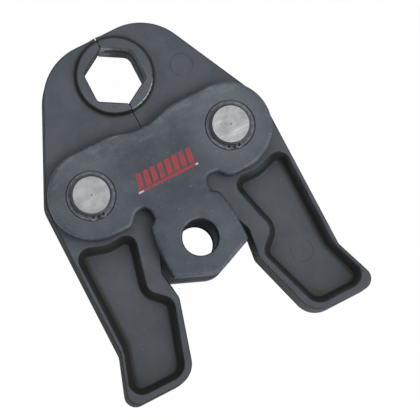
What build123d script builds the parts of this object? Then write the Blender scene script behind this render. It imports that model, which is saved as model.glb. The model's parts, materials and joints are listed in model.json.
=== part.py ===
from build123d import *
import math
import os

# Press fitting tool jaw: two forged arms that turn on steel pins between two T-shaped side
# plates. The origin is the centre of the bore for the tool's pin, halfway through the jaw.
# +Y points to the press mouth, and +Z out of the front side plate. Millimetres.

# Where the main axes lie
pivot_spacing = 61.0
pivot_height = 33.6
mouth_height = 71.8

# Stack through the jaw
arm_thickness = 17.7
plate_thickness = 7.0
side_clearance = 0.15

# Bore for the tool's pin
tool_pin_diameter = 14.0
tool_pin_clearance = 0.1
tool_bore_edge_round = 1.2

# Pivot pins, their rings and the recesses of the rings
pin_diameter = 16.0
pin_stand_out = 3.4
pin_chamfer = 0.8
pin_centre_radius = 0.6
pin_bore_clearance = 0.03
pin_running_clearance = 0.06
ring_thickness = 1.1
ring_groove_depth = 0.5
ring_groove_play = 0.1
ring_width = 1.9
ring_gap_angle = 8.0
ring_ear_radius = 1.5
ring_ear_reach = 0.4
ring_ear_hole_radius = 0.6
ring_recess_depth = 1.3
ring_recess_clearance = 0.3
left_front_ring_turn = -7.0
right_front_ring_turn = -17.0
rear_ring_turn = 0.0

# Side plate outline, on the half with positive X
lobe_radius = 17.8
lobe_inset = 1.3
lobe_flat = 0.1
dip_depth = 2.75
dip_floor_half_width = 4.0
dip_half_width = 12.0
dip_radius = 10.0
notch_height = 4.4
notch_inner_x = 12.25
notch_outer_x = 17.8
notch_mouth_x = 21.6
notch_radius = 3.1
notch_lip_radius = 4.5
neck_drop = 1.5
neck_radius = 1.0
shoulder_x = 15.0
shoulder_drop = 3.2
shoulder_radius = 3.0
lug_half_width = 16.5
lug_side_drop = 10.2
lug_corner_below_bore = 9.1
lug_tip_below_bore = 15.9
lug_corner_radius = 1.4
lug_tip_radius = 9.0
lug_side_radius = 6.0
plate_edge_round = 1.5

# Arm outline, on the arm with positive X, heights from the pivots
seam_gap = 0.3
nose_height = 55.0
nose_corner_x = 22.9
nose_radius = 22.5
flank_x = 47.6
flank_top = 4.8
flank_radius = 10.0
flare_x = 47.9
flare_drop = 59.6
flare_radius = 7.0
foot_x = 55.3
foot_drop = 80.5
foot_outer_radius = 4.6
foot_inner_x = 26.3
foot_inner_radius = 9.5
bump_x = 17.4
bump_drop = 50.4
bump_radius = 4.0
waist_x = 18.8
waist_drop = 38.7
waist_radius = 3.0
throat_x = 14.5
throat_drop = 28.5
throat_radius = 9.0
relief_x = 10.4
relief_drop = 14.0
relief_radius = 5.0
relief_top_x = 9.0
relief_top_drop = 7.0
relief_top_radius = 3.0
seam_end = 1.0
seam_end_radius = 4.0
seam_overlap = 3.0
seam_overlap_radius = 1.4
seam_notch = 1.4
arm_edge_round = 0.9

# Press mouth: a hexagon with its corners on the seam, and the groove for the fitting's bead
mouth_across_flats = 21.2
mouth_upper_corner_radius = 3.8
mouth_lower_corner_radius = 1.6
mouth_seam_chamfer = 0.6
mouth_entry_chamfer = 0.5
bead_groove_radius = 12.4
bead_groove_width = 7.0
bead_groove_round = 2.2
bead_groove_offset = 3.0
boss_radius = 15.0
boss_rise = 2.5
boss_foot = 1.9
boss_chamfer = 0.45

# Forged pocket of each tail, at the arm's face, heights from the pivots
pocket_depth = 5.5
pocket_draft = 25.0
pocket_rim_round = 0.8
pocket_floor_round = 1.2
pocket_inner_top_x = 21.0
pocket_inner_top_drop = 18.5
pocket_inner_top_radius = 4.4
pocket_boss_x = 33.0
pocket_boss_dip = 1.0
pocket_boss_radius = 12.0
pocket_outer_wall = 1.3
pocket_outer_top_rise = 3.7
pocket_outer_top_radius = 4.8
pocket_flare_drop = 57.5
pocket_flare_radius = 8.0
pocket_foot_x = 52.9
pocket_foot_drop = 77.8
pocket_foot_radius = 5.6
pocket_heel_x = 28.7
pocket_heel_radius = 6.8
pocket_bump_x = 19.4
pocket_bump_drop = 49.6
pocket_bump_radius = 5.0
pocket_waist_x = 27.1
pocket_waist_drop = 42.4
pocket_waist_radius = 5.0

# Closing spring and the stepped post that holds its coil
spring_wire_diameter = 1.8
spring_mean_radius = 4.2
spring_coil_gap = 0.35
spring_whole_turns = 3
spring_leg_angle = 30.0
spring_leg_clearance = 0.3
post_spring_clearance = 0.3
post_end_diameter = 4.0
post_seat_depth = 3.0
post_clearance = 0.05
post_end_play = 0.1

# Small springs that keep the side plates apart
side_spring_wire_diameter = 0.9
side_spring_mean_radius = 2.1
side_spring_turns = 5.0
side_spring_seat_depth = 1.2
side_spring_seat_clearance = 0.3
side_spring_end_play = 0.1
upper_side_spring_above_bore = 11.8
lower_side_spring_below_bore = 11.2
spring_spacing = 2.15

# Values worked out from the sizes above
pivot_x = pivot_spacing / 2
arm_face = arm_thickness / 2
pocket_outer_x = flank_x - pocket_outer_wall
plate_inner = arm_face + side_clearance
plate_outer = plate_inner + plate_thickness
pin_radius = pin_diameter / 2
pin_end = plate_outer + pin_stand_out
ring_seat = plate_outer - ring_recess_depth
ring_inner_radius = pin_radius - ring_groove_depth
ring_outer_radius = ring_inner_radius + ring_width
recess_radius = ring_outer_radius + ring_ear_reach + ring_recess_clearance
tool_bore_radius = tool_pin_diameter / 2 + tool_pin_clearance
seam_x = seam_gap / 2
side_spring_outer_radius = side_spring_mean_radius + side_spring_wire_diameter / 2
spring_outer_radius = spring_mean_radius + spring_wire_diameter / 2
spring_y = upper_side_spring_above_bore + side_spring_outer_radius + spring_spacing + spring_outer_radius
post_end_radius = post_end_diameter / 2
post_radius = spring_mean_radius - spring_wire_diameter / 2 - post_spring_clearance


def rounded_face(corners):
    """A flat face inside straight runs, each corner given as x, y and the radius of its arc."""
    points = [(x, y) for x, y, _ in corners]
    return make_face(FilletPolyline(*points, radius=[r for *_, r in corners], close=True))


def cylinder(radius, low, high, x=0.0, y=0.0):
    """A round bar along Z between two heights."""
    return Pos(x, y, (low + high) / 2) * Cylinder(radius, high - low)


def plate_outline():
    """The T shape: a round lobe about each pivot, a notch under each lobe and the lug below."""
    lobe_top = pivot_height + lobe_radius
    lobe_bottom = pivot_height - lobe_radius
    lobe_x = pivot_x - lobe_inset + lobe_radius
    notch_top = lobe_bottom + notch_height
    lobe_arc = lobe_radius - lobe_flat / 2
    half = [
        (dip_floor_half_width, lobe_top - dip_depth, dip_radius),
        (dip_half_width, lobe_top, dip_radius),
        (lobe_x, lobe_top, lobe_arc),
        (lobe_x, lobe_bottom, lobe_arc),
        (notch_mouth_x, lobe_bottom, notch_lip_radius),
        (notch_outer_x, notch_top, notch_radius),
        (notch_inner_x, notch_top, notch_radius),
        (notch_inner_x, lobe_bottom - neck_drop, neck_radius),
        (shoulder_x, lobe_bottom - shoulder_drop, shoulder_radius),
        (lug_half_width, lobe_bottom - lug_side_drop, lug_side_radius),
        (lug_half_width, -lug_corner_below_bore, lug_corner_radius),
    ]
    tip = [(0.0, -lug_tip_below_bore, lug_tip_radius)]
    return rounded_face(half + tip + [(-x, y, r) for x, y, r in reversed(half)])


def front_plate():
    """A side plate with its bores, the recesses of the snap rings and the inner spring seats."""
    plate = Pos(0, 0, plate_inner) * extrude(plate_outline(), plate_thickness)
    outer_face = plate.faces().sort_by(Axis.Z)[-1]
    plate = fillet(outer_face.edges(), plate_edge_round)
    plate -= cylinder(tool_bore_radius, plate_inner, plate_outer)
    bore_edge = plate.edges().filter_by(GeomType.CIRCLE).filter_by(
        lambda edge: abs(edge.radius - tool_bore_radius) < 1e-6
        and abs(edge.arc_center.Z - plate_outer) < 1e-6
    )
    plate = fillet(bore_edge, tool_bore_edge_round)
    for x in (-pivot_x, pivot_x):
        plate -= cylinder(pin_radius + pin_bore_clearance, plate_inner, plate_outer, x, pivot_height)
        plate -= cylinder(recess_radius, ring_seat, plate_outer, x, pivot_height)
    plate -= cylinder(post_end_radius + post_clearance, plate_inner, plate_inner + post_seat_depth,
                      0, spring_y)
    seat_radius = side_spring_outer_radius + side_spring_seat_clearance
    for y in (upper_side_spring_above_bore, -lower_side_spring_below_bore):
        plate -= cylinder(seat_radius, plate_inner, plate_inner + side_spring_seat_depth, 0, y)
    return plate


def arm_outline():
    """The arm from nose to foot, clockwise from the top and a little past the seam."""
    corners = [
        (-seam_overlap, nose_height, seam_overlap_radius),
        (nose_corner_x, nose_height, nose_radius),
        (flank_x, flank_top, flank_radius),
        (flare_x, -flare_drop, flare_radius),
        (foot_x, -foot_drop, foot_outer_radius),
        (foot_inner_x, -foot_drop, foot_inner_radius),
        (bump_x, -bump_drop, bump_radius),
        (waist_x, -waist_drop, waist_radius),
        (throat_x, -throat_drop, throat_radius),
        (relief_x, -relief_drop, relief_radius),
        (relief_top_x, -relief_top_drop, relief_top_radius),
        (seam_x, seam_end, seam_end_radius),
        (-seam_overlap, seam_end, seam_overlap_radius),
    ]
    return rounded_face([(x, y + pivot_height, r) for x, y, r in corners])


def pocket_outline():
    """The opening of a pocket in the arm's face, before its rim is rounded."""
    corners = [
        (pocket_inner_top_x, -pocket_inner_top_drop, pocket_inner_top_radius),
        (pocket_boss_x, -pocket_inner_top_drop - pocket_boss_dip, pocket_boss_radius),
        (pocket_outer_x, -pocket_inner_top_drop + pocket_outer_top_rise, pocket_outer_top_radius),
        (pocket_outer_x, -pocket_flare_drop, pocket_flare_radius),
        (pocket_foot_x, -pocket_foot_drop, pocket_foot_radius),
        (pocket_heel_x, -pocket_foot_drop, pocket_heel_radius),
        (pocket_bump_x, -pocket_bump_drop, pocket_bump_radius),
        (pocket_waist_x, -pocket_waist_drop, pocket_waist_radius),
    ]
    return rounded_face([(x, y + pivot_height, r) for x, y, r in corners])


def with_pocket(arm):
    """The arm with a drafted pocket sunk into its front face, its floor and its rim rounded."""
    opening = Pos(0, 0, arm_face) * pocket_outline()
    space = extrude(opening, pocket_depth, dir=(0, 0, -1))
    walls = space.faces().filter_by(lambda face: abs(face.normal_at().Z) < 0.5)
    space = draft(walls, Plane(origin=(0, 0, arm_face)), -pocket_draft)
    floor = space.faces().sort_by(Axis.Z)[0]
    arm -= fillet(floor.edges(), pocket_floor_round)
    rim = arm.edges().filter_by(lambda edge: opening.distance_to(Vertex(*(edge @ 0.5))) < 1e-4)
    return fillet(rim, pocket_rim_round)


def boss():
    """The raised disc round the mouth on one face, with a hollow foot and a chamfered rim."""
    top = arm_face + boss_rise
    edge = Polyline(
        (boss_radius, arm_face + boss_foot),
        (boss_radius, top - boss_chamfer),
        (boss_radius - boss_chamfer, top),
        (0, top),
        (0, arm_face),
        (boss_radius + boss_foot, arm_face),
    )
    foot = RadiusArc((boss_radius + boss_foot, arm_face), (boss_radius, arm_face + boss_foot), boss_foot)
    section = Plane.XZ * make_face([*edge.edges(), foot])
    return Pos(0, mouth_height, 0) * revolve(section, Axis.Z)


def mouth_outline():
    """A hexagon with two corners on the seam, where the arms' edges are chamfered."""
    corner_radius = mouth_across_flats / math.sqrt(3)
    hexagon = RegularPolygon(corner_radius, 6, rotation=90)
    hexagon = fillet(hexagon.vertices().sort_by(Axis.Y)[3:5], mouth_upper_corner_radius)
    hexagon = fillet(hexagon.vertices().sort_by(Axis.Y)[1:3], mouth_lower_corner_radius)
    seam = Rectangle(mouth_seam_chamfer, mouth_seam_chamfer, rotation=45)
    return hexagon + Pos(0, corner_radius) * seam + Pos(0, -corner_radius) * seam


def mouth_space():
    """The hexagonal space of the mouth with chamfered entries and the groove for the bead."""
    top = arm_face + boss_rise
    hexagon = mouth_outline()
    space = extrude(hexagon, top, both=True)
    space += entry_space(hexagon, top)
    space += mirror(entry_space(hexagon, top), about=Plane.XY)
    groove = Cylinder(bead_groove_radius, bead_groove_width)
    groove = fillet(groove.edges().filter_by(GeomType.CIRCLE), bead_groove_round)
    space += Pos(0, 0, bead_groove_offset) * groove
    return Pos(0, mouth_height, 0) * space


def entry_space(hexagon, top):
    """The chamfer at one end of the mouth."""
    start = Pos(0, 0, top - mouth_entry_chamfer) * hexagon
    return extrude(start, mouth_entry_chamfer, dir=(0, 0, 1), taper=-45)


def right_arm():
    """One forged arm: outline, boss, a sharp seam, mouth half, pin bore and two pockets."""
    arm = extrude(arm_outline(), arm_face, both=True)
    arm = fillet(arm.edges().filter_by(Plane.XY), arm_edge_round)
    raised = boss()
    arm += raised + mirror(raised, about=Plane.XY)
    arm &= Pos(seam_x + foot_x, 0, 0) * Box(2 * foot_x, 4 * nose_height, 4 * arm_thickness)
    notch = extrude(Rectangle(seam_notch, seam_notch, rotation=45), arm_face, both=True)
    arm -= Pos(0, pivot_height + nose_height, 0) * notch
    arm -= mouth_space()
    arm -= cylinder(pin_radius + pin_running_clearance, -arm_face, arm_face, pivot_x, pivot_height)
    arm = with_pocket(arm)
    return mirror(with_pocket(mirror(arm, about=Plane.XY)), about=Plane.XY)


def pivot_pin(x):
    """A ground pin with a chamfer, a ring groove and a lathe's centre mark at each end."""
    pin = chamfer(Cylinder(pin_radius, 2 * pin_end).edges().filter_by(GeomType.CIRCLE), pin_chamfer)
    centre = Pos(0, 0, pin_end - pin_centre_radius / 2) * Cone(0, pin_centre_radius, pin_centre_radius)
    pin -= centre + mirror(centre, about=Plane.XY)
    collar = cylinder(pin_radius + 1, ring_seat, ring_seat + ring_thickness + ring_groove_play)
    collar -= cylinder(ring_inner_radius, ring_seat, ring_seat + ring_thickness + ring_groove_play)
    return Pos(x, pivot_height, 0) * (pin - collar - mirror(collar, about=Plane.XY))


def front_ring(x, turn):
    """A snap ring in a front groove, open at the bottom, with an eyelet at each end."""
    band = Circle(ring_outer_radius) - Circle(ring_inner_radius)
    half_gap = math.radians(ring_gap_angle / 2)
    reach = 2 * ring_outer_radius
    band -= make_face(Polyline(
        (0, 0),
        (reach * math.sin(half_gap), -reach * math.cos(half_gap)),
        (-reach * math.sin(half_gap), -reach * math.cos(half_gap)),
        close=True,
    ))
    ear_centre = ring_outer_radius + ring_ear_reach - ring_ear_radius
    ear_angle = half_gap + ring_ear_radius / ear_centre
    for side in (-1, 1):
        place = Pos(side * ear_centre * math.sin(ear_angle), -ear_centre * math.cos(ear_angle))
        band += place * Circle(ring_ear_radius)
        band -= place * Circle(ring_ear_hole_radius)
    band -= Circle(ring_inner_radius)
    ring = extrude(band, ring_thickness)
    return Pos(x, pivot_height, ring_seat) * Rot(0, 0, turn) * ring


def spring_post():
    """A stepped post whose ends sit in blind holes of the side plates."""
    shoulder = plate_inner - post_end_play
    end = plate_inner + post_seat_depth - post_end_play
    return cylinder(post_radius, -shoulder, shoulder, 0, spring_y) + cylinder(
        post_end_radius, -end, end, 0, spring_y)


def spring_leg_length(start, along):
    """How far a leg runs before its wire lies a clearance short of the arm's inner edge."""
    relief = Vector(relief_x, pivot_height - relief_drop)
    edge = (Vector(throat_x, pivot_height - throat_drop) - relief).normalized()
    inward = Vector(edge.Y, -edge.X)
    room = (start - relief).dot(inward) - spring_wire_diameter / 2 - spring_leg_clearance
    return room / -along.dot(inward)


def closing_spring():
    """A torsion spring: a coil about the post with a straight leg to the edge of each arm."""
    pitch = spring_wire_diameter + spring_coil_gap
    turns = spring_whole_turns + (180 - 2 * spring_leg_angle) / 360
    coil = Rot(0, 0, spring_leg_angle) * Helix(pitch, pitch * turns, spring_mean_radius)
    coil = Pos(0, spring_y, -pitch * turns / 2) * coil
    start, end = coil @ 0, coil @ 1
    length = spring_leg_length(start, -(coil % 0))
    first = Line(start - (coil % 0) * length, start)
    last = Line(end, end + (coil % 1) * length)
    path = Wire([first.edge(), coil.edge(), last.edge()])
    section = Plane(origin=path @ 0, z_dir=path % 0) * Circle(spring_wire_diameter / 2)
    return sweep(section, path, is_frenet=True)


def side_plate_spring(y):
    """A small compression spring between two seats in the side plates."""
    length = 2 * (plate_inner + side_spring_seat_depth - side_spring_end_play)
    height = length - side_spring_wire_diameter
    coil = Pos(0, 0, -height / 2) * Helix(height / side_spring_turns, height, side_spring_mean_radius)
    section = Plane(origin=coil @ 0, z_dir=coil % 0) * Circle(side_spring_wire_diameter / 2)
    return Pos(0, y, 0) * sweep(section, coil, is_frenet=True)


def build():
    """Every piece of the jaw under the name of its node."""
    plate = front_plate()
    arm = right_arm()
    pieces = {
        "right_jaw_arm": arm,
        "left_jaw_arm": mirror(arm, about=Plane.YZ),
        "front_side_plate": plate,
        "rear_side_plate": mirror(plate, about=Plane.XY),
        "left_pivot_pin": pivot_pin(-pivot_x),
        "right_pivot_pin": pivot_pin(pivot_x),
        "left_front_retaining_ring": front_ring(-pivot_x, left_front_ring_turn),
        "right_front_retaining_ring": front_ring(pivot_x, right_front_ring_turn),
        "spring_post": spring_post(),
        "closing_spring": closing_spring(),
        "upper_side_plate_spring": side_plate_spring(upper_side_spring_above_bore),
        "lower_side_plate_spring": side_plate_spring(-lower_side_spring_below_bore),
    }
    for side, x in (("left", -pivot_x), ("right", pivot_x)):
        ring = mirror(front_ring(x, rear_ring_turn), about=Plane.XY)
        pieces[f"{side}_rear_retaining_ring"] = ring
    return pieces


os.makedirs("parts", exist_ok=True)
for node, piece in build().items():
    export_step(piece, f"parts/{node}.step")
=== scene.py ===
"""Looks, light and camera for the press fitting tool jaw.

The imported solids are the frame: arms, side plates, pins, snap rings and springs stay where they
are and get their finishes here. The print on the front side plate is the one piece added to them.
"""

from __future__ import annotations

import json
import logging
from dataclasses import dataclass, field
from enum import Enum
from typing import Any, NamedTuple

import bpy
from mathutils import Matrix, Vector

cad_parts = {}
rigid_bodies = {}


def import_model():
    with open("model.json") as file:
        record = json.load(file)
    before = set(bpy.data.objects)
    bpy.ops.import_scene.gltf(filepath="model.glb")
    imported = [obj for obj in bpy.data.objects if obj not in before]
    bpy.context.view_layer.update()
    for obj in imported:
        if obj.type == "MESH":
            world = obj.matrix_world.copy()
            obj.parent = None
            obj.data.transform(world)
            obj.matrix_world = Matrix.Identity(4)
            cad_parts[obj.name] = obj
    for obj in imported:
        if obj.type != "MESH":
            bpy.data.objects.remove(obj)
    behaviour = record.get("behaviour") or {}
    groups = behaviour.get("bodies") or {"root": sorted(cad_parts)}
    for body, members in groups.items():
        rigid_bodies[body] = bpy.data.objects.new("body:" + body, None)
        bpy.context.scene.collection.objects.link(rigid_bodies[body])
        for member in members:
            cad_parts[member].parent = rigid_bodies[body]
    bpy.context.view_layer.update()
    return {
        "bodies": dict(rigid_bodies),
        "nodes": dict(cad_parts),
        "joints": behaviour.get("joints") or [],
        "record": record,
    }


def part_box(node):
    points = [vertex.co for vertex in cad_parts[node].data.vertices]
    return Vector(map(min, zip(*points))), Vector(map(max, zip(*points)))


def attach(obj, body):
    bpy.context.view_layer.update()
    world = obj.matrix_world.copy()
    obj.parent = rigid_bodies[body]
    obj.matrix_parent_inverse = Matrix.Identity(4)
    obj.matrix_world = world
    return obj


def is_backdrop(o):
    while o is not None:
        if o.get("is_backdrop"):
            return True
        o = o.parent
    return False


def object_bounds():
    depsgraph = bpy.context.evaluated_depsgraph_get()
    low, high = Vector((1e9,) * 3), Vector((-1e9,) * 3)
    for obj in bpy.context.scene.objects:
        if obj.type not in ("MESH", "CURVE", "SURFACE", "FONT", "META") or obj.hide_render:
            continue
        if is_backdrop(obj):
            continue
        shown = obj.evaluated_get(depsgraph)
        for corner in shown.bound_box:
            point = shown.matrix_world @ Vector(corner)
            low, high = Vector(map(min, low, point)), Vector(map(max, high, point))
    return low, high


LOG = logging.getLogger("press_jaw")
MM = 0.001
Colour = tuple[float, float, float]
Place = tuple[float, float]
WHITE: Colour = (1.0, 1.0, 1.0)

# Axes along Z, as X and Y. The left half of the jaw mirrors the right one.
BORE_AXIS: Place = (0.0, 0.0)
MOUTH_AXIS: Place = (0.0, 71.8 * MM)
PIN_AXIS: Place = (30.5 * MM, 33.6 * MM)

# The curve that the red, green and blue of a screen follow.
SCREEN_FULL = 255
SCREEN_TOE = 0.04045
SCREEN_SLOPE = 12.92
SCREEN_SHIFT = 0.055
SCREEN_POWER = 2.4

# The sockets of a Mix node for colours, by their places, because its names repeat.
COLOUR_MIX_INPUTS = (0, 6, 7)
COLOUR_MIX_RESULT = 2

# A noise's mean, its shift along X, Y and Z for each seed, and the rays that look for creases.
MEAN_NOISE = 0.5
SEED_STEPS = (1.0, 0.7, 1.3)
OCCLUSION_SAMPLES = 8


class Fade(NamedTuple):
    """Between which two values a mask grows from 0 to 1. The second may be the smaller one."""

    none: float
    full: float


class Band(NamedTuple):
    """Between which values a mask grows from 0 to 1, and between which it falls to 0 again."""

    start: float
    full: float
    fading: float
    gone: float


# How squarely a face looks along Z, where it counts as a flat face or as a steep wall.
FLAT = Fade(0.9, 0.99)
STEEP = Fade(0.8, 0.3)
# How far from the middle a mask takes in one half of the jaw: along X the right, along Z the front.
ONE_HALF = Fade(0.0, 1.0 * MM)
RIGHT_OF_SEAM = Fade(0.0, 0.2 * MM)


def linear(red: int, green: int, blue: int) -> Colour:
    """Turn a screen colour into the linear colour that a shader takes.

    Args:
        red: Red from 0 to 255.
        green: Green from 0 to 255.
        blue: Blue from 0 to 255.

    Returns:
        The three linear values from 0 to 1.
    """

    def channel(value: int) -> float:
        """Undo the screen's curve on one value.

        Args:
            value: Red, green or blue from 0 to 255.

        Returns:
            The linear value from 0 to 1.
        """
        share = value / SCREEN_FULL
        if share <= SCREEN_TOE:
            return share / SCREEN_SLOPE
        return ((share + SCREEN_SHIFT) / (1 + SCREEN_SHIFT)) ** SCREEN_POWER

    return channel(red), channel(green), channel(blue)


def add_object(name: str, data: bpy.types.ID) -> bpy.types.Object:
    """Make an object and link it into the scene.

    Args:
        name: The object's name.
        data: Its mesh, light or camera.

    Returns:
        The object.
    """
    thing = bpy.data.objects.new(name, data)
    bpy.context.scene.collection.objects.link(thing)
    return thing


class Value:
    """A node's output that takes part in sums, so that masks read as plain expressions."""

    def __init__(self, nodes: "Nodes", socket: bpy.types.NodeSocket) -> None:
        """Wrap an output socket of a tree."""
        self.nodes = nodes
        self.socket = socket

    def _maths(self, operation: str, *operands: Any, clamp: bool = False) -> "Value":
        """Add a Math node.

        Args:
            operation: The node's operation.
            *operands: Values or numbers, in the order of the node's sockets.
            clamp: Whether the result is held between 0 and 1.

        Returns:
            The node's result.
        """
        inputs = dict(enumerate(operands))
        node = self.nodes.add("ShaderNodeMath", {"operation": operation, "use_clamp": clamp}, inputs)
        return Value(self.nodes, node.outputs[0])

    def __add__(self, other: Any) -> "Value":
        """Sum of two values."""
        return self._maths("ADD", self, other)

    def __radd__(self, other: Any) -> "Value":
        """Sum with a number on the left."""
        return self._maths("ADD", other, self)

    def __sub__(self, other: Any) -> "Value":
        """Difference of two values."""
        return self._maths("SUBTRACT", self, other)

    def __rsub__(self, other: Any) -> "Value":
        """Difference with a number on the left."""
        return self._maths("SUBTRACT", other, self)

    def __mul__(self, other: Any) -> "Value":
        """Product of two values."""
        return self._maths("MULTIPLY", self, other)

    def __rmul__(self, other: Any) -> "Value":
        """Product with a number on the left."""
        return self._maths("MULTIPLY", other, self)

    def __pow__(self, other: Any) -> "Value":
        """One value to the power of another."""
        return self._maths("POWER", self, other)

    def __abs__(self) -> "Value":
        """Size without sign."""
        return self._maths("ABSOLUTE", self)

    def clamped(self) -> "Value":
        """The value held between 0 and 1."""
        return self._maths("ADD", self, 0.0, clamp=True)

    def either(self, other: Any) -> "Value":
        """The larger of two values."""
        return self._maths("MAXIMUM", self, other)

    def fade(self, ends: Fade) -> "Value":
        """Grow smoothly from 0 to 1.

        Args:
            ends: Where the mask is 0 and where it is 1.

        Returns:
            The mask.
        """
        settings = {"interpolation_type": "SMOOTHSTEP"}
        node = self.nodes.add("ShaderNodeMapRange", settings, {"Value": self})
        rising = ends.none < ends.full
        numbers = (*ends, 0.0, 1.0) if rising else (ends.full, ends.none, 1.0, 0.0)
        for name, number in zip(("From Min", "From Max", "To Min", "To Max"), numbers):
            node.inputs[name].default_value = number
        return Value(self.nodes, node.outputs["Result"])

    def band(self, ends: Band) -> "Value":
        """Grow smoothly from 0 to 1 and fall to 0 again.

        Args:
            ends: Where the mask starts, is full, begins to fade and is gone.

        Returns:
            The mask.
        """
        return self.fade(Fade(ends.start, ends.full)) * self.fade(Fade(ends.gone, ends.fading))


class Nodes:
    """A node tree, with one way to add its nodes and to give their sockets what they get."""

    def __init__(self, tree: bpy.types.NodeTree) -> None:
        """Take a tree over and empty it.

        Args:
            tree: The tree of a material, of a world or of a modifier.
        """
        self.tree = tree
        self.tree.nodes.clear()

    def add(self, kind: str, settings: dict[str, Any] | None = None,
            inputs: dict[Any, Any] | None = None) -> bpy.types.Node:
        """Add a node.

        Args:
            kind: The node's type.
            settings: Its own settings, which are set first.
            inputs: Numbers, colours, values or links by the names or places of its sockets.

        Returns:
            The node.
        """
        node = self.tree.nodes.new(kind)
        for name, setting in (settings or {}).items():
            setattr(node, name, setting)
        for key, source in (inputs or {}).items():
            self.feed(node.inputs[key], source)
        return node

    def feed(self, socket: bpy.types.NodeSocket, source: Any) -> None:
        """Give a socket a link, a number or a colour.

        Args:
            socket: The input socket.
            source: A Value, a plain number or a tuple.
        """
        if isinstance(source, Value):
            self.tree.links.new(source.socket, socket)
        elif isinstance(source, tuple) and socket.type == "RGBA" and len(source) == 3:
            socket.default_value = (*source, 1.0)
        else:
            socket.default_value = source

    def output(self, kind: str, name: str, settings: dict[str, Any] | None = None,
               inputs: dict[Any, Any] | None = None) -> Value:
        """Add a node and take one of its outputs.

        Args:
            kind: The node's type.
            name: The output's name.
            settings: Its own settings.
            inputs: What its sockets get.

        Returns:
            The output.
        """
        return Value(self, self.add(kind, settings, inputs).outputs[name])


class Shader(Nodes):
    """One material's node tree, with the few ways in which the finishes fill it."""

    def __init__(self, name: str) -> None:
        """Start an empty material.

        Args:
            name: The material's name.
        """
        self.material = bpy.data.materials.new(name)
        self.material.use_nodes = True
        super().__init__(self.material.node_tree)
        self.place = self.output("ShaderNodeTexCoord", "Object")

    def noise(self, grain: float, detail: float = 3.0, rough: float = 0.5,
              stretch: Vector | None = None, seed: float = 0.0) -> Value:
        """Noise with a grain of a real size.

        Args:
            grain: The size of one blotch, in metres.
            detail: How many finer layers lie on it.
            rough: How strong the finer layers are.
            stretch: Factors along X, Y and Z, for drawn or brushed marks.
            seed: A shift that makes one noise unlike the next.

        Returns:
            The noise, about 0.5 on average.
        """
        shift = Vector([step * seed for step in SEED_STEPS])
        scale = stretch or Vector((1, 1, 1))
        inputs = {"Vector": self.place, "Location": shift, "Scale": scale}
        moved = self.output("ShaderNodeMapping", "Vector", inputs=inputs)
        inputs = {"Vector": moved, "Scale": 1 / grain, "Detail": detail, "Roughness": rough}
        return self.output("ShaderNodeTexNoise", "Fac", inputs=inputs)

    def coordinate(self, axis: str) -> Value:
        """The place along X, Y or Z, in metres."""
        return self.output("ShaderNodeSeparateXYZ", axis, inputs={0: self.place})

    def around(self, axis: Place) -> Value:
        """The distance from an axis along Z, the same on both sides of the seam.

        Args:
            axis: How far the axis stands from the seam, and its height above the bore's axis.

        Returns:
            The distance, in metres.
        """
        across = abs(self.coordinate("X")) - axis[0]
        along = self.coordinate("Y") - axis[1]
        return (across * across + along * along) ** 0.5

    def open_share(self, reach: float) -> Value:
        """How open the surface lies: low in creases and gaps, 1 in the open.

        Args:
            reach: How far off a neighbour still counts, in metres.

        Returns:
            The share.
        """
        settings = {"samples": OCCLUSION_SAMPLES, "only_local": False}
        return self.output("ShaderNodeAmbientOcclusion", "AO", settings, {"Distance": reach})

    def upright(self) -> Value:
        """How squarely the surface faces along Z: 1 on the flat faces, 0 on the walls."""
        normal = self.output("ShaderNodeNewGeometry", "Normal")
        return abs(self.output("ShaderNodeSeparateXYZ", "Z", inputs={0: normal}))

    def mix(self, share: Any, first: Any, second: Any) -> Value:
        """Blend two colours.

        Args:
            share: How much of the second shows.
            first: The colour at 0.
            second: The colour at 1.

        Returns:
            The blend.
        """
        node = self.add("ShaderNodeMix", {"data_type": "RGBA"})
        for place, source in zip(COLOUR_MIX_INPUTS, (share, first, second)):
            self.feed(node.inputs[place], source)
        return Value(self, node.outputs[COLOUR_MIX_RESULT])

    def bump(self, height: Value, depth: float, strength: float = 1.0,
             below: Value | None = None) -> Value:
        """Turn a height into a change of the surface's direction.

        Args:
            height: The relief, from 0 to 1.
            depth: Its real depth, in metres.
            strength: How much of it shows.
            below: A coarser relief that it lies on.

        Returns:
            The normal.
        """
        inputs = {"Height": height, "Distance": depth, "Strength": strength}
        if below is not None:
            inputs["Normal"] = below
        return self.output("ShaderNodeBump", "Normal", inputs=inputs)

    def finish(self, **inputs: Any) -> bpy.types.Material:
        """Close the tree with the surface shader.

        Args:
            **inputs: Socket names with underlines for spaces.

        Returns:
            The material.
        """
        named = {name.replace("_", " "): source for name, source in inputs.items()}
        surface = self.output("ShaderNodeBsdfPrincipled", "BSDF", inputs=named)
        self.add("ShaderNodeOutputMaterial", inputs={"Surface": surface})
        return self.material


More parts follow.
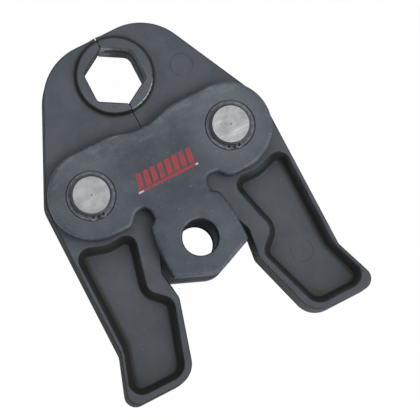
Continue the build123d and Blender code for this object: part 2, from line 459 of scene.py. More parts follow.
@dataclass(frozen=True)
class OxideSteel:
    """Blackened steel with a cloudy oxide, fine pits, painted shade in the creases and edges where wear has
    bared the metal.

    A fade holds where its mask begins and where it is full. On a noise these are the noise's values,
    and on a slope they say how squarely the surface looks along Z, from 0 on a wall to 1 on a flat
    face. All others are places or distances in metres.

    Attributes:
        name: The material's name.
        deep: The oxide where it is thickest.
        pale: The oxide where it is thin.
        wear_and_highlight: The colour of bare metal on edges and specks, and of the painted highlights and
            sheen.
        shade_and_marks: The colour of the painted shade in creases and hollows, and of the arms' ring marks.
        cloud: The size of the clouds, in metres.
        grain: The size of the surface grain, in metres.
        roughness: How dull the flat faces are.
        wear: How much wear shows on the edges.
        specks: How much the small bright specks show.
        crease_reach: How far off a neighbour still makes a crease, in metres.
        crease_fade: How open the surface lies in a crease.
        crease_shade: How much painted shade a crease gets.
        grain_depth: The height of the grain, in metres.
        grain_relief: How much of that height shows.
        cloud_slope: The height of the clouds as a share of their size.
        cloud_relief: How much of that height shows.
        cloud_fade: Where the oxide passes from deep to pale.
        pit_fade: The grain that shows as pits.
        pit_share: How much the pits darken the oxide.
        edge_band: The slope of the rounded edges.
        cloud_weight: The part of the clouds in where the rubbing breaks up.
        grain_weight: The part of the grain in it.
        broken_fade: The sum of both that shows as rubbing.
        speck_grains: The size of a speck, in grains.
        speck_fade: The noise that shows as specks.
        cloud_dulling: How much duller the palest cloud is than the deepest.
        shade_and_marks_dulling: How much the painted shade and marks dull the steel.
        wear_shine: How much rubbing smooths it.
        metallic: How metallic the oxide looks.
        specular: How strongly it mirrors when looked at squarely.
    """

    name: str
    deep: Colour
    pale: Colour
    wear_and_highlight: Colour
    shade_and_marks: Colour
    cloud: float
    grain: float
    roughness: float
    wear: float
    specks: float
    crease_reach: float
    crease_fade: Fade
    crease_shade: float
    grain_depth: float = 0.05 * MM
    grain_relief: float = 0.8
    cloud_slope: float = 0.012
    cloud_relief: float = 0.5
    cloud_fade: Fade = Fade(0.36, 0.64)
    pit_fade: Fade = Fade(0.35, 0.7)
    pit_share: float = 0.3
    edge_band: Band = Band(0.12, 0.45, 0.93, 0.999)
    cloud_weight: float = 0.6
    grain_weight: float = 0.4
    broken_fade: Fade = Fade(0.42, 0.62)
    speck_grains: float = 2.2
    speck_fade: Fade = Fade(0.7, 0.78)
    cloud_dulling: float = 0.25
    shade_and_marks_dulling: float = 0.25
    wear_shine: float = 0.15
    metallic: float = 0.15
    specular: float = 0.4

    def material(self) -> bpy.types.Material:
        """Build the material.

        Returns:
            The material, ready to be assigned.
        """
        shader = Shader(self.name)
        cloud = shader.noise(self.cloud, detail=5, rough=0.62, seed=1.0)
        grain = shader.noise(self.grain, detail=2, rough=0.55, seed=2.0)
        colour = shader.mix(cloud.fade(self.cloud_fade), self.deep, self.pale)
        colour = shader.mix(grain.fade(self.pit_fade) * self.pit_share, colour, self.deep)
        worn_and_lit = self._wear_and_light_share(shader, cloud, grain)
        # wear on edges and specks, and in the subclasses painted highlight and sheen
        colour = shader.mix(worn_and_lit, colour, self.wear_and_highlight)
        shade_and_marks = self._shade_and_marks_share(shader)
        # painted shade: creases and hollows darkened towards the shade colour
        colour = shader.mix(shade_and_marks, colour, self.shade_and_marks)
        coarse = shader.bump(cloud, self.cloud * self.cloud_slope, self.cloud_relief)
        relief = shader.bump(grain, self.grain_depth, self.grain_relief, coarse)
        dull = (cloud - MEAN_NOISE) * self.cloud_dulling + self.roughness
        dull = dull + shade_and_marks * self.shade_and_marks_dulling - worn_and_lit * self.wear_shine
        return shader.finish(Base_Color=colour, Roughness=dull.clamped(), Metallic=self.metallic,
                             Normal=relief, Specular_IOR_Level=self.specular)

    def _wear_and_light_share(self, shader: Shader, cloud: Value, grain: Value) -> Value:
        """Where handling has thinned the oxide: rounded edges and scattered specks.

        Args:
            shader: The material's shader.
            cloud: Its broad noise.
            grain: Its fine noise.

        Returns:
            The share of the wear colour.
        """
        edge = shader.upright().band(self.edge_band)
        broken = (cloud * self.cloud_weight + grain * self.grain_weight).fade(self.broken_fade)
        speck = shader.noise(self.grain * self.speck_grains, detail=1, seed=5.0).fade(self.speck_fade)
        return (edge * broken * self.wear + speck * self.specks).clamped()

    def _shade_and_marks_share(self, shader: Shader) -> Value:
        """Painted shade: darker where the surface lies in a crease, found by occlusion."""
        return shader.open_share(self.crease_reach).fade(self.crease_fade) * self.crease_shade


@dataclass(frozen=True)
class PlateOxide(OxideSteel):
    """The side plates' finish: a painted sheen on the lobes round the pins, painted light on the recess
    edges, scuffed along the edge below the mouth.

    Attributes:
        band_fade: The heights between which the pale band along the upper edge grows.
        band_drop: How much lower it lies, for each metre from the seam.
        band_flat: The faces that it covers.
        band_share: How thin the oxide is all over the band.
        scuff: The size of one scuff in it.
        scuff_fade: The noise that shows as scuffs.
        scuff_share: How much thinner the oxide is there.
        flake: The size of the scattered flakes.
        flake_fade: The noise that shows as flakes.
        flake_share: How thin the oxide is there.
        lobe_fade: The distances from a pin between which its lobe grows paler with painted sheen.
        lobe_sheen: How much painted sheen the left lobe gets.
        lobe_sheen_gain: How much more the right one gets.
        across_fade: The stretch across the plate over which the lobes' painted sheen grows from left to
            right.
        lug_fade: The distances from the bore between which the lug grows paler.
        lug_share: How much paler the lug is left of the bore.
        lug_gain: How much paler still it is on the bore's right.
        lug_across: The stretch over which it grows paler there.
        recess_band: The distances from a pin that the edge of its recess takes up.
        recess_light: How much painted light that edge gets, softening its shade.
        bore_fade: The distances from the bore's axis between which its wall's painted shade grows.
        bore_shade: How much painted shade the wall gets.
    """

    band_fade: Fade = Fade(38 * MM, 50 * MM)
    band_drop: float = 0.05
    band_flat: Fade = Fade(0.8, 0.99)
    band_share: float = 0.11
    scuff: float = 3.0 * MM
    scuff_fade: Fade = Fade(0.42, 0.7)
    scuff_share: float = 0.22
    flake: float = 1.1 * MM
    flake_fade: Fade = Fade(0.66, 0.74)
    flake_share: float = 0.15
    lobe_fade: Fade = Fade(22 * MM, 9 * MM)
    lobe_sheen: float = 0.11
    lobe_sheen_gain: float = 0.09
    across_fade: Fade = Fade(-25 * MM, 25 * MM)
    lug_fade: Fade = Fade(19 * MM, 10 * MM)
    lug_share: float = 0.03
    lug_gain: float = 0.09
    lug_across: Fade = Fade(0.0, 14 * MM)
    recess_band: Band = Band(9.6 * MM, 9.8 * MM, 10.1 * MM, 10.3 * MM)
    recess_light: float = 0.4
    bore_fade: Fade = Fade(8.6 * MM, 7.4 * MM)
    bore_shade: float = 0.88

    def _wear_and_light_share(self, shader: Shader, cloud: Value, grain: Value) -> Value:
        """Where the plate is paler: thin oxide as on all oxide and along the upper edge, painted sheen on
        the lobes, painted light on the recess edges, and a paler lug.

        Args:
            shader: The material's shader.
            cloud: Its broad noise.
            grain: Its fine noise.

        Returns:
            The share of the wear and painted light colour.
        """
        across = shader.coordinate("X")
        height = shader.coordinate("Y") - abs(across) * self.band_drop
        band = height.fade(self.band_fade) * shader.upright().fade(self.band_flat)
        scuff = shader.noise(self.scuff, detail=4, rough=0.65, stretch=Vector((0.45, 1.0, 1.0)), seed=6.0)
        flake = shader.noise(self.flake, detail=2, seed=13.0)
        scuffs = band * (scuff.fade(self.scuff_fade) * self.scuff_share + self.band_share)
        flakes = flake.fade(self.flake_fade) * self.flake_share
        pin = shader.around(PIN_AXIS)
        # painted sheen: the lobes round the pins paler, more so on the right
        lobe = pin.fade(self.lobe_fade) * (across.fade(self.across_fade) * self.lobe_sheen_gain + self.lobe_sheen)
        # painted light on the recess edge round each pin, softening its shaded outline
        recess = pin.band(self.recess_band) * self.recess_light
        beside_bore = across.fade(self.lug_across) * self.lug_gain + self.lug_share
        lug = shader.around(BORE_AXIS).fade(self.lug_fade) * beside_bore
        usual = super()._wear_and_light_share(shader, cloud, grain)
        return (usual + scuffs + flakes + lobe + lug + recess).clamped()

    def _shade_and_marks_share(self, shader: Shader) -> Value:
        """Painted shade: thinly in the creases, and inside the bore."""
        # painted shade on the bore's wall
        bore = shader.around(BORE_AXIS).fade(self.bore_fade) * shader.upright().fade(STEEP)
        return (super()._shade_and_marks_share(shader) + bore * self.bore_shade).clamped()


@dataclass(frozen=True)
class ForgedSteel(OxideSteel):
    """The arms' finish: painted shade in the pockets, round the boss foot, on the sides and on the mouth's
    left walls, and a painted highlight on the boss rim and the mouth's right walls.

    Attributes:
        rub_fade: The grain that breaks up the painted highlight.
        hollow_fade: The distances from the mouth's axis between which its walls begin.
        hollow_sheen: How much painted sheen the right arm's walls of the mouth get.
        seam_across: How far from the seam the brightest painted highlight on them reaches.
        seam_along: The heights above the mouth's axis between which it begins.
        rim_band: The distances from the mouth's axis that the boss rim takes up.
        rim_slope: The slope of the rim's chamfer.
        rim_highlight: How much painted highlight the chamfer gets on its lower right.
        lit_right: The part of the way right in how far a place lies to the lower right, the side of the
            painted highlight.
        lit_down: The part of the way down in it.
        lit_reach: How far that way from the mouth's axis the painted highlight begins.
        face_along: The heights from the mouth's axis over which the boss face grows paler.
        face_share: How pale it gets.
        outer_fade: The distances from the mouth's axis between which the painted shade begins outside it.
        near_reach: How far off a wall still darkens its neighbour, in metres.
        far_reach: How far off it still darkens a pocket's floor, in metres.
        wall_slope: The slopes between which a pocket's wall gets painted shade.
        wall_fade: How open a shaded wall lies.
        boss_fade: The distances from the mouth's axis between which the boss counts.
        boss_gain: How much less painted shade the walls round the boss get.
        side_slope: The slopes between which the outer sides get painted shade.
        side_shade: How much painted shade the left arm's sides get.
        side_gain: How much less the right arm's get.
        scale: The size of the patches in which the sides' painted shade varies.
        scale_share: How much those patches vary it.
        scale_base: How much of it stays everywhere.
        foot_band: The distances from the mouth's axis that the foot of the boss takes up.
        foot_shade: How much painted shade it gets.
        tail_fade: The heights between which the arms grow darker towards their tails.
        tail_share: How much darker they get.
        sunk_fade: The distances from the middle plane between which a pocket's floor begins.
        floor_fade: How open a shaded floor lies.
        floor_shade: How much painted shade it gets at the foot of its walls.
        outer_wall: The distances from the seam between which the floor's outer side gets painted shade.
        outer_wall_shade: How dark it gets.
        flare_start: The height below which that side runs outwards.
        flare_slope: How far it runs outwards, for each metre down.
        left_wall_shade: How much painted shade the left arm's walls of the mouth get.
        mark: The size of the patches in which the ring marks are kept.
        mark_fade: The noise that keeps a mark.
        mark_line: The distances from a mark's circle between which it shows.
        mark_radius: The radius of a ring mark.
        mark_centres: Where the two ring marks stand on the right arm.
        mark_share: How dark they are.
    """

    rub_fade: Fade = Fade(0.3, 0.6)
    hollow_fade: Fade = Fade(13.0 * MM, 12.4 * MM)
    hollow_sheen: float = 0.35
    seam_across: Fade = Fade(5.0 * MM, 1.5 * MM)
    seam_along: Fade = Fade(8.0 * MM, 10.0 * MM)
    rim_band: Band = Band(14.2 * MM, 14.5 * MM, 15.1 * MM, 15.4 * MM)
    rim_slope: Band = Band(0.3, 0.6, 0.85, 0.99)
    rim_highlight: float = 0.85
    lit_right: float = 0.46
    lit_down: float = 0.89
    lit_reach: Fade = Fade(12.0 * MM, 14.0 * MM)
    face_along: Fade = Fade(2.0 * MM, -8.0 * MM)
    face_share: float = 0.045
    outer_fade: Fade = Fade(12.5 * MM, 13.2 * MM)
    near_reach: float = 6.0 * MM
    far_reach: float = 9.0 * MM
    wall_slope: Fade = Fade(0.995, 0.85)
    wall_fade: Fade = Fade(0.995, 0.93)
    boss_fade: Fade = Fade(19.0 * MM, 17.0 * MM)
    boss_gain: float = 0.45
    side_slope: Fade = Fade(0.985, 0.6)
    side_shade: float = 0.75
    side_gain: float = 0.35
    scale: float = 9.0 * MM
    scale_share: float = 1.2
    scale_base: float = 0.4
    foot_band: Band = Band(14.8 * MM, 15.2 * MM, 15.6 * MM, 18.0 * MM)
    foot_shade: float = 0.15
    tail_fade: Fade = Fade(20 * MM, -35 * MM)
    tail_share: float = 0.22
    sunk_fade: Fade = Fade(7.5 * MM, 4.5 * MM)
    floor_fade: Fade = Fade(0.93, 0.58)
    floor_shade: float = 0.55
    outer_wall: Fade = Fade(41.4 * MM, 43.4 * MM)
    outer_wall_shade: float = 0.5
    flare_start: float = -24.0 * MM
    flare_slope: float = 0.325
    left_wall_shade: float = 0.6
    mark: float = 6.0 * MM
    mark_fade: Fade = Fade(0.36, 0.54)
    mark_line: Fade = Fade(0.45 * MM, 0.1 * MM)
    mark_radius: float = 4.4 * MM
    mark_centres: tuple[Place, ...] = ((25.6 * MM, 64.1 * MM), (34.5 * MM, -22.0 * MM))
    mark_share: float = 0.26

    def _wear_and_light_share(self, shader: Shader, cloud: Value, grain: Value) -> Value:
        """Where the oxide is thin as on all oxide, and the painted highlight on the boss rim's lower right
        and the mouth's walls by the seam.

        Args:
            shader: The material's shader.
            cloud: Its broad noise.
            grain: Its fine noise.

        Returns:
            The share of the wear and highlight colour.
        """
        # painted highlight, broken up by the grain
        wear_and_highlight = self._painted_highlight_share(shader) * grain.fade(self.rub_fade)
        return (super()._wear_and_light_share(shader, cloud, grain) + wear_and_highlight).clamped()

    def _painted_highlight_share(self, shader: Shader) -> Value:
        """Painted highlight and sheen: the boss rim's lower right and the right arm's walls of the mouth,
        brightest by the seam; also the boss face paler towards its lower side.

        Args:
            shader: The material's shader.

        Returns:
            The share of the highlight colour.
        """
        upright, mouth = shader.upright(), shader.around(MOUTH_AXIS)
        across, along = shader.coordinate("X"), shader.coordinate("Y") - MOUTH_AXIS[1]
        # painted highlight on the boss rim's chamfer, on its lower right only
        chamfer = mouth.band(self.rim_band) * upright.band(self.rim_slope)
        lower_right = (across * self.lit_right - along * self.lit_down).fade(self.lit_reach)
        # painted sheen on the right arm's walls of the mouth, brightest by the seam
        walls = mouth.fade(self.hollow_fade) * upright.fade(STEEP) * across.fade(RIGHT_OF_SEAM)
        seam = across.fade(self.seam_across) * along.fade(self.seam_along)
        on_boss = mouth.fade(Fade(self.rim_band.gone, self.rim_band.fading))
        face = on_boss * along.fade(self.face_along) * upright.fade(FLAT)
        wear_and_highlight = chamfer * lower_right * self.rim_highlight + walls * (seam + self.hollow_sheen)
        return (wear_and_highlight + face * self.face_share).clamped()

    def _shade_and_marks_share(self, shader: Shader) -> Value:
        """Painted shade in the pockets, on the sides, round the boss and on the mouth's left walls, with the
        forging's ring marks and a darkening towards the tails.

        Args:
            shader: The material's shader.

        Returns:
            The share of the shade and marks colour.
        """
        upright, mouth = shader.upright(), shader.around(MOUTH_AXIS)
        right = shader.coordinate("X").fade(ONE_HALF)
        round_boss = 1.0 - mouth.fade(self.boss_fade) * self.boss_gain
        near = shader.open_share(self.near_reach).fade(self.wall_fade)
        # painted shade on the pockets' walls, less round the boss
        wall = upright.fade(self.wall_slope) * near * round_boss
        scale = shader.noise(self.scale, detail=4, rough=0.6, seed=15.0) * self.scale_share + self.scale_base
        # painted shade on the outer sides, in patches, less on the right arm
        side = upright.fade(self.side_slope) * (self.side_shade - right * self.side_gain) * scale
        tail = shader.coordinate("Y").fade(self.tail_fade) * self.tail_share
        creases = super()._shade_and_marks_share(shader)
        outside = (wall + side + self._floor_share(shader) + tail + creases) * mouth.fade(self.outer_fade)
        # painted shade on the foot of the boss
        foot = mouth.band(self.foot_band) * self.foot_shade
        # painted shade on the left arm's walls of the mouth
        left_wall = mouth.fade(self.hollow_fade) * upright.fade(STEEP) * (1.0 - right) * self.left_wall_shade
        shade_and_mark_sum = outside + foot + left_wall + self._ring_marks(shader) * self.mark_share
        return (shade_and_mark_sum.clamped() * (1.0 - self._painted_highlight_share(shader))).clamped()

    def _floor_share(self, shader: Shader) -> Value:
        """Painted shade on the pockets' floors: at the foot of the walls, most on the outer side.

        Args:
            shader: The material's shader.

        Returns:
            The share of painted shade.
        """
        down = (self.flare_start - shader.coordinate("Y")).either(0.0)
        outwards = abs(shader.coordinate("X")) - down * self.flare_slope
        outer_side = outwards.fade(self.outer_wall) * self.outer_wall_shade
        # painted shade at the foot of the pockets' walls
        foot = shader.open_share(self.far_reach).fade(self.floor_fade) * self.floor_shade
        return abs(shader.coordinate("Z")).fade(self.sunk_fade) * (foot + outer_side)

    def _ring_marks(self, shader: Shader) -> Value:
        """Two faint ring marks of the forging, on the right arm's front face and pocket floor.

        Args:
            shader: The material's shader.

        Returns:
            The share of the marks.
        """
        front = shader.coordinate("X").fade(ONE_HALF) * shader.coordinate("Z").fade(ONE_HALF)
        first, second = (
            abs(shader.around(centre) - self.mark_radius).fade(self.mark_line)
            for centre in self.mark_centres
        )
        kept = shader.noise(self.mark, detail=1, seed=14.0).fade(self.mark_fade)
        return (first + second) * front * kept


@dataclass(frozen=True)
class GroundSteel:
    """Bright steel, ground in one direction, with faint stains, a darker turned chamfer and painted light in
    the centre mark.

    Attributes:
        name: The material's name.
        bright: The clean metal.
        stained: The metal under a stain.
        smeared: The metal where the grinding has smeared it bright, and the painted light in the centre
            mark.
        side: The colour of the chamfer and of the side.
        scratch: The width of one grinding mark, in metres.
        scratch_slope: The height of a grinding mark as a share of its width.
        scratch_relief: How much of that height shows.
        scratch_dulling: How much the grinding marks dull the metal.
        roughness: How dull the metal is on average.
        stain: The size of one stain, in metres.
        stain_fade: The noise that shows as stains.
        stain_share: How much they show.
        stain_dulling: How much they dull the metal.
        smear: The size of one smear, in metres.
        smear_fade: The noise that shows as smears.
        smear_share: How much they show on the left pin.
        smear_gain: How much more they show on the right one.
        centre_face: The radii between which the centre mark counts as part of the flat face.
        centre_light: The radii between which the painted light on its bottom grows.
        centre_light_share: How bright that painted light is.
        centre_dull: The radii between which the mark grows dull.
        dull_share: How dull it is.
        side_metallic: How metallic chamfer and side look.
        face_metallic: How much more metallic the flat face looks.
    """

    name: str
    bright: Colour
    stained: Colour
    smeared: Colour
    side: Colour
    scratch: float = 0.5 * MM
    scratch_slope: float = 0.12
    scratch_relief: float = 0.3
    scratch_dulling: float = 0.14
    roughness: float = 0.42
    stain: float = 5.0 * MM
    stain_fade: Fade = Fade(0.4, 0.62)
    stain_share: float = 0.8
    stain_dulling: float = 0.2
    smear: float = 2.8 * MM
    smear_fade: Fade = Fade(0.5, 0.7)
    smear_share: float = 0.2
    smear_gain: float = 0.3
    centre_face: Fade = Fade(1.2 * MM, 0.8 * MM)
    centre_light: Fade = Fade(1.0 * MM, 0.4 * MM)
    centre_light_share: float = 0.4
    centre_dull: Fade = Fade(1.3 * MM, 0.8 * MM)
    dull_share: float = 0.1
    side_metallic: float = 0.7
    face_metallic: float = 0.25

    def material(self) -> bpy.types.Material:
        """Build the material.

        Returns:
            The material, ready to be assigned.
        """
        shader = Shader(self.name)
        stain = shader.noise(self.stain, detail=4, rough=0.6, seed=7.0)
        marks = shader.noise(self.scratch, detail=2, stretch=Vector((0.06, 1.0, 1.0)), seed=8.0)
        smear = shader.noise(self.smear, detail=2, stretch=Vector((0.18, 1.0, 1.0)), seed=10.0)
        centre = shader.around(PIN_AXIS)
        face = shader.upright().fade(FLAT).either(centre.fade(self.centre_face))
        right = shader.coordinate("X").fade(ONE_HALF)
        smears = smear.fade(self.smear_fade) * (right * self.smear_gain + self.smear_share)
        # smears, and painted light that fills the shade of the centre mark
        smears_and_light = (smears + centre.fade(self.centre_light) * self.centre_light_share).clamped()
        colour = shader.mix(stain.fade(self.stain_fade) * self.stain_share, self.bright, self.stained)
        colour = shader.mix(face, self.side, shader.mix(smears_and_light, colour, self.smeared))
        even = self.roughness - MEAN_NOISE * (self.scratch_dulling + self.stain_dulling)
        dull = marks * self.scratch_dulling + stain * self.stain_dulling + even
        dull = dull + centre.fade(self.centre_dull) * self.dull_share
        relief = shader.bump(marks, self.scratch * self.scratch_slope, self.scratch_relief)
        return shader.finish(Base_Color=colour, Roughness=dull.clamped(), Normal=relief,
                             Metallic=face * self.face_metallic + self.side_metallic)


@dataclass(frozen=True)
class OiledSteel:
    """Dark drawn or stamped spring steel with an oily sheen and painted shade in its creases.

    Attributes:
        name: The material's name.
        dark: The main colour.
        light: The colour of the drawn streaks.
        roughness: How dull it is.
        crease_shade_colour: The colour of the painted shade in the creases.
        streak: The size of one streak, in metres.
        streak_depth: The height of the streaks, in metres.
        streak_relief: How much of that height shows.
        streak_fade: The noise that shows as streaks.
        streak_dulling: How much they dull the steel.
        crease_reach: How far off a neighbour still makes a crease, in metres.
        crease_fade: How open the surface lies in a crease.
        crease_shade: How much painted shade a crease gets.
        crease_dulling: How much duller it is.
        metallic: How metallic the steel looks.
    """

    name: str
    dark: Colour
    light: Colour
    roughness: float
    crease_shade_colour: Colour = linear(30, 32, 33)
    streak: float = 2.0 * MM
    streak_depth: float = 0.02 * MM
    streak_relief: float = 0.4
    streak_fade: Fade = Fade(0.4, 0.65)
    streak_dulling: float = 0.2
    crease_reach: float = 1.5 * MM
    crease_fade: Fade = Fade(0.9, 0.5)
    crease_shade: float = 0.15
    crease_dulling: float = 0.2
    metallic: float = 0.75

    def material(self) -> bpy.types.Material:
        """Build the material.

        Returns:
            The material, ready to be assigned.
        """
        shader = Shader(self.name)
        streak = shader.noise(self.streak, detail=2, rough=0.5, seed=9.0)
        crease = shader.open_share(self.crease_reach).fade(self.crease_fade)
        colour = shader.mix(streak.fade(self.streak_fade), self.dark, self.light)
        # painted shade: creases darkened by occlusion
        colour = shader.mix(crease * self.crease_shade, colour, self.crease_shade_colour)
        relief = shader.bump(streak, self.streak_depth, self.streak_relief)
        dull = streak * self.streak_dulling + self.roughness + crease * self.crease_dulling
        return shader.finish(Base_Color=colour, Roughness=dull.clamped(), Metallic=self.metallic,
                             Normal=relief)


@dataclass(frozen=True)
class StampedInk:
    """Red ink on the oxide, thin at its edges, with the steel showing through in places and whitish at the
    rule's ends.

    Attributes:
        name: The material's name.
        ink: The ink's colour.
        thin: The ink where the steel shows through.
        whitish: The colour of the rule's whitish ends.
        rule_end: Where the rule's ends begin, in metres from the seam.
        whitish_top: The height above the bore's axis up to which the ends are whitish.
        rub: The size of the patches where the ink wears through, in metres.
        fine: The size of the ink's own grain, in metres.
        fine_depth: The height of that grain, in metres.
        fine_relief: How much of that height shows.
        rub_weight: The part of the patches in where the ink wears through.
        fine_weight: The part of the grain in it.
        rub_fade: The sum of both that shows as rubbing.
        rub_share: How much of the steel shows there.
        end_blur: The width over which the whitish end begins, in metres.
        top_blur: How far above and below its top the whitish end stops, in metres.
        whitish_share: How much the whitish colour covers.
        roughness: How dull the ink is where it is whole.
        rub_dulling: How much duller it is where it wears through.
    """

    name: str
    ink: Colour
    thin: Colour
    whitish: Colour
    rule_end: float
    whitish_top: float
    rub: float = 2.2 * MM
    fine: float = 0.4 * MM
    fine_depth: float = 0.03 * MM
    fine_relief: float = 0.6
    rub_weight: float = 0.7
    fine_weight: float = 0.3
    rub_fade: Fade = Fade(0.46, 0.62)
    rub_share: float = 0.75
    end_blur: float = 0.3 * MM
    top_blur: float = 0.1 * MM
    whitish_share: float = 0.8
    roughness: float = 0.45
    rub_dulling: float = 0.2

    def material(self) -> bpy.types.Material:
        """Build the material.

        Returns:
            The material, ready to be assigned.
        """
        shader = Shader(self.name)
        rub = shader.noise(self.rub, detail=4, rough=0.65, seed=11.0)
        fine = shader.noise(self.fine, detail=2, seed=12.0)
        share = (rub * self.rub_weight + fine * self.fine_weight).fade(self.rub_fade) * self.rub_share
        end = abs(shader.coordinate("X")).fade(Fade(self.rule_end, self.rule_end + self.end_blur))
        below_top = Fade(self.whitish_top + self.top_blur, self.whitish_top - self.top_blur)
        low = shader.coordinate("Y").fade(below_top)
        colour = shader.mix(share, self.ink, self.thin)
        colour = shader.mix(end * low * self.whitish_share, colour, self.whitish)
        relief = shader.bump(fine, self.fine_depth, self.fine_relief)
        return shader.finish(Base_Color=colour, Roughness=rub * self.rub_dulling + self.roughness,
                             Normal=relief)


class Slot(Enum):
    """The record's material slots."""

    FORGED = "forged_steel"
    PLATE = "plate_steel"
    GROUND = "ground_steel"
    RING = "ring_steel"
    SPRING = "spring_steel"


FINISHES: dict[Slot, OxideSteel | GroundSteel | OiledSteel] = {
    Slot.FORGED: ForgedSteel(
        "forged_oxide", deep=linear(63, 69, 76), pale=linear(75, 80, 87), wear_and_highlight=linear(212, 216, 221),
        shade_and_marks=linear(32, 33, 30), cloud=12 * MM, grain=0.6 * MM, roughness=0.55, wear=0.03, specks=0.045,
        crease_reach=2.0 * MM, crease_fade=Fade(0.95, 0.55), crease_shade=0.12),
    Slot.PLATE: PlateOxide(
        "plate_oxide", deep=linear(52, 59, 67), pale=linear(65, 72, 80), wear_and_highlight=linear(132, 140, 147),
        shade_and_marks=linear(24, 27, 30), cloud=8 * MM, grain=0.7 * MM, roughness=0.5, wear=0.2, specks=0.2,
        crease_reach=1.5 * MM, crease_fade=Fade(0.9, 0.3), crease_shade=0.18),
    Slot.GROUND: GroundSteel(
        "ground_pin", bright=linear(160, 163, 164), stained=linear(138, 141, 143),
        smeared=linear(206, 208, 207), side=linear(84, 88, 92)),
    Slot.RING: OiledSteel("snap_ring_steel", dark=linear(88, 93, 99), light=linear(112, 117, 122),
                          roughness=0.4),
    Slot.SPRING: OiledSteel("spring_wire", dark=linear(95, 98, 100), light=linear(140, 142, 144),
                            roughness=0.3),
}


@dataclass
class SteelBodies:
    """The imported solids, each dressed in the finish of its slot.

    Attributes:
        frame: What the frame holds: its nodes and its record.
        materials: The materials made so far, one for each slot.
    """

    frame: dict[str, Any]
    materials: dict[Slot, bpy.types.Material] = field(default_factory=dict)

    def dress(self) -> None:
        """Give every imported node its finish."""
        slots = {row["node"]: Slot(row["material_slot"]) for row in self.frame["record"]["subparts"]}
        for name, node in self.frame["nodes"].items():
            slot = slots[name]
            if slot not in self.materials:
                self.materials[slot] = FINISHES[slot].material()
            for holder in node.material_slots:
                holder.material = self.materials[slot]
            LOG.info("%s wears %s", name, self.materials[slot].name)


@dataclass
class PrintedMark:
    """A plain red print on the front side plate: a row of slanted bars over a thin rule.

    Attributes:
        width: The print's width, in metres.
        bar_height: The height of the slanted bars.
        bar_count: How many bars stand in the row.
        bar_gap: The gap between two bars.
        slant: How far a bar's top leans over its foot.
        rule_height: The height of the rule below the bars.
        rule_gap: The gap between bars and rule.
        ink_depth: The thickness of the ink.
        end_length: How long the whitish ends of the rule are.
        red_share: How much of the rule's height stays red above them.
        centre_height: The height of the print's middle above the bore's axis.
    """

    width: float = 26.0 * MM
    bar_height: float = 5.8 * MM
    bar_count: int = 8
    bar_gap: float = 1.0 * MM
    slant: float = 1.0 * MM
    rule_height: float = 1.1 * MM
    rule_gap: float = 0.5 * MM
    ink_depth: float = 0.03 * MM
    end_length: float = 1.8 * MM
    red_share: float = 0.4
    centre_height: float = 30.2 * MM

    def build(self, plate: str, body: str) -> None:
        """Print the mark on a plate's outer face.

        Args:
            plate: The node that carries the print.
            body: The body that the plate belongs to.
        """
        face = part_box(plate)[1].z
        below = self.bar_height / 2 + self.rule_gap + self.rule_height * self.red_share
        ink = StampedInk("red_print", ink=linear(152, 34, 42), thin=linear(80, 60, 65),
                         whitish=linear(190, 192, 190), rule_end=self.width / 2 - self.end_length,
                         whitish_top=self.centre_height - below).material()
        carrier = add_object("print_carrier", bpy.data.meshes.new("print_carrier"))
        carrier.modifiers.new("print", "NODES").node_group = self._tree(ink)
        made = carrier.evaluated_get(bpy.context.evaluated_depsgraph_get())
        mesh = bpy.data.meshes.new_from_object(made)
        bpy.data.objects.remove(carrier)
        mesh.transform(Matrix.Translation((0, self.centre_height, face)))
        mark = add_object("printed_mark", mesh)
        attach(mark, body)
        LOG.info("printed_mark has %d faces", len(mesh.polygons))

    def _tree(self, ink: bpy.types.Material) -> bpy.types.NodeTree:
        """Make the node tree that lays out the bars and the rule.

        Args:
            ink: The print's material.

        Returns:
            The tree.
        """
        group = bpy.data.node_groups.new("print_row", "GeometryNodeTree")
        group.interface.new_socket("Geometry", in_out="OUTPUT", socket_type="NodeSocketGeometry")
        pitch = (self.width - self.slant) / self.bar_count
        sizes = {"Bar Count": self.bar_count, "Pitch": pitch}
        for name, size in sizes.items():
            kind = "NodeSocketInt" if isinstance(size, int) else "NodeSocketFloat"
            group.interface.new_socket(name, in_out="INPUT", socket_type=kind).default_value = size
        tree = Nodes(group)
        source = tree.add("NodeGroupInput")
        count, along = (Value(tree, source.outputs[name]) for name in sizes)

        place = tree.output("GeometryNodeInputPosition", "Position")
        height = tree.output("ShaderNodeSeparateXYZ", "Y", inputs={0: place})
        size = (pitch - self.bar_gap, self.bar_height, self.ink_depth)
        block = tree.output("GeometryNodeMeshCube", "Mesh", inputs={"Size": size})
        shift = height * (self.slant / self.bar_height)
        lean = tree.output("ShaderNodeCombineXYZ", "Vector", inputs={"X": shift})
        inputs = {"Geometry": block, "Offset": lean}
        bar = tree.output("GeometryNodeSetPosition", "Geometry", inputs=inputs)

        step = tree.output("ShaderNodeCombineXYZ", "Vector", inputs={"X": along})
        start = (-pitch * (self.bar_count - 1) / 2, 0, 0)
        inputs = {"Count": count, "Start Location": start, "Offset": step}
        row = tree.output("GeometryNodeMeshLine", "Mesh", inputs=inputs)
        inputs = {"Points": row, "Instance": bar}
        bars = tree.output("GeometryNodeInstanceOnPoints", "Instances", inputs=inputs)

        size = (self.width, self.rule_height, self.ink_depth)
        strip = tree.output("GeometryNodeMeshCube", "Mesh", inputs={"Size": size})
        below = -(self.bar_height + self.rule_height) / 2 - self.rule_gap
        inputs = {"Geometry": strip, "Translation": (-self.slant / 2, below, 0)}
        rule = tree.output("GeometryNodeTransform", "Geometry", inputs=inputs)

        join = tree.add("GeometryNodeJoinGeometry")
        for part in (bars, rule):
            tree.feed(join.inputs["Geometry"], part)
        joined = Value(tree, join.outputs["Geometry"])
        real = tree.output("GeometryNodeRealizeInstances", "Geometry", inputs={"Geometry": joined})
        inputs = {"Geometry": real, "Material": ink}
        inked = tree.output("GeometryNodeSetMaterial", "Geometry", inputs=inputs)
        tree.add("NodeGroupOutput", inputs={"Geometry": inked})
        return group


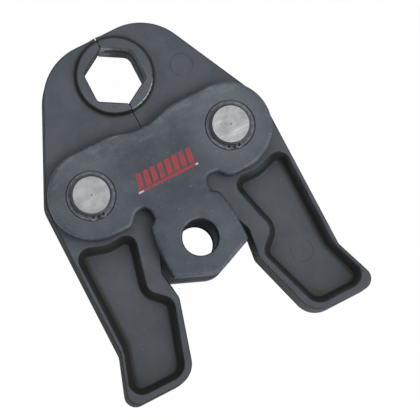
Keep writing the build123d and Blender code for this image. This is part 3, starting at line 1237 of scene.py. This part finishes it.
@dataclass(frozen=True)
class Softbox:
    """A square area light that points at the jaw.

    Attributes:
        name: The light's name.
        place: Where it hangs, in metres.
        side: The length of its side, in metres.
        power: Its power in watts.
        tint: Its colour.
    """

    name: str
    place: tuple[float, float, float]
    side: float
    power: float
    tint: Colour = WHITE

    def hang(self) -> None:
        """Hang the light."""
        data = bpy.data.lights.new(self.name, "AREA")
        data.shape = "SQUARE"
        data.size = self.side
        data.energy = self.power
        data.color = self.tint
        place = Vector(self.place)
        turn = place.to_track_quat("Z", "Y").to_matrix().to_4x4()
        add_object(self.name, data).matrix_world = Matrix.Translation(place) @ turn


SOFTBOXES = (
    Softbox("key_softbox", (0.35, -0.35, 0.9), side=0.55, power=5.0, tint=(1.0, 0.985, 0.96)),
    Softbox("fill_softbox", (-0.8, 0.25, 0.8), side=0.7, power=2.0, tint=(0.9, 0.95, 1.0)),
    Softbox("top_softbox", (0.1, 0.6, 1.0), side=0.8, power=3.0),
    Softbox("low_softbox", (0.22, -0.68, 0.32), side=0.25, power=1.5),
)


@dataclass
class Studio:
    """Floor, soft lights, pale surroundings and the camera above the jaw.

    Attributes:
        camera_place: Where the camera stands, in metres.
        aim: The point that it looks at, in the jaw's middle plane.
        picture_up: The direction across the jaw that runs up the picture.
        lens: The focal length in millimetres.
        sensor: The width of the camera's sensor in millimetres.
        sight: How far the camera sees, in metres.
        floor_size: The side of the floor, in metres.
        floor_colour: The floor's own colour, which throws light back at the jaw.
        floor_glow: How white the floor looks where the camera sees it.
        ambient: How brightly the surroundings light the jaw.
        seen_sky: How bright they are where the camera sees them.
        sky_tint: Their colour.
    """

    camera_place: Vector = field(default_factory=lambda: Vector((-158.57, -77.47, 1340.95)) * MM)
    aim: Vector = field(default_factory=lambda: Vector((10.1, 8.75, 0.0)) * MM)
    picture_up: Vector = field(default_factory=lambda: Vector((0.4638, 0.8859, 0.0)))
    lens: float = 295.9
    sensor: float = 36.0
    sight: float = 20.0
    floor_size: float = 6.0
    floor_colour: Colour = (0.86, 0.86, 0.87)
    floor_glow: float = 0.985
    ambient: float = 0.4
    seen_sky: float = 1.0
    sky_tint: Colour = (0.97, 0.985, 1.0)

    def build(self) -> None:
        """Set up the whole studio."""
        self._camera()
        self._floor(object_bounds()[0][2])
        self._surroundings()
        for softbox in SOFTBOXES:
            softbox.hang()
        bpy.context.scene.view_settings.view_transform = "Standard"

    def _camera(self) -> None:
        """Place the camera as the photograph was taken, almost straight above."""
        data = bpy.data.cameras.new("camera")
        data.lens = self.lens
        data.sensor_width = self.sensor
        data.clip_end = self.sight
        camera = add_object("camera", data)
        back = (self.camera_place - self.aim).normalized()
        right = self.picture_up.cross(back).normalized()
        turn = Matrix((right, back.cross(right), back)).transposed().to_4x4()
        camera.matrix_world = Matrix.Translation(self.camera_place) @ turn
        bpy.context.scene.camera = camera

    def _floor(self, height: float) -> None:
        """Lay a white floor that keeps the jaw's soft shadow.

        Args:
            height: The height at which the jaw rests.
        """
        half = self.floor_size / 2
        mesh = bpy.data.meshes.new("floor")
        points = [(x * half, y * half, height) for x, y in ((-1, -1), (1, -1), (1, 1), (-1, 1))]
        mesh.from_pydata(points, [], [(0, 1, 2, 3)])
        floor = add_object("floor", mesh)
        shader = Shader("floor_white")
        matte = shader.output("ShaderNodeBsdfDiffuse", "BSDF", inputs={"Color": self.floor_colour})
        light = {"Color": WHITE, "Strength": 1.0}
        glow = shader.output("ShaderNodeEmission", "Emission", inputs=light)
        parts = {0: self._seen_share(shader), 1: matte, 2: glow}
        surface = shader.output("ShaderNodeMixShader", "Shader", inputs=parts)
        shader.add("ShaderNodeOutputMaterial", inputs={"Surface": surface})
        mesh.materials.append(shader.material)
        floor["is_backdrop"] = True

    def _seen_share(self, shader: Shader) -> Value:
        """How much the floor glows: for the rays that look at it, and not for those that light the jaw.

        Args:
            shader: The floor's shader.

        Returns:
            The share, 0 for all other rays.
        """
        kinds = shader.add("ShaderNodeLightPath")
        camera, through = (
            Value(shader, kinds.outputs[name]) for name in ("Is Camera Ray", "Is Transmission Ray"))
        return camera.either(through) * self.floor_glow

    def _surroundings(self) -> None:
        """Fill the world with a soft grey that the camera sees as white."""
        world = bpy.data.worlds.new("surroundings")
        bpy.context.scene.world = world
        world.use_nodes = True
        tree = Nodes(world.node_tree)
        seen = tree.output("ShaderNodeLightPath", "Is Camera Ray")
        strength = seen * (self.seen_sky - self.ambient) + self.ambient
        light = {"Color": self.sky_tint, "Strength": strength}
        sky = tree.output("ShaderNodeBackground", "Background", inputs=light)
        tree.add("ShaderNodeOutputWorld", inputs={"Surface": sky})


def main() -> None:
    """Dress the jaw, add its print and set up the studio."""
    logging.basicConfig(level=logging.INFO, format="%(message)s")
    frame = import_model()
    SteelBodies(frame).dress()
    PrintedMark().build("front_side_plate", "side_plates")
    Studio().build()


if __name__ == "__main__":
    main()
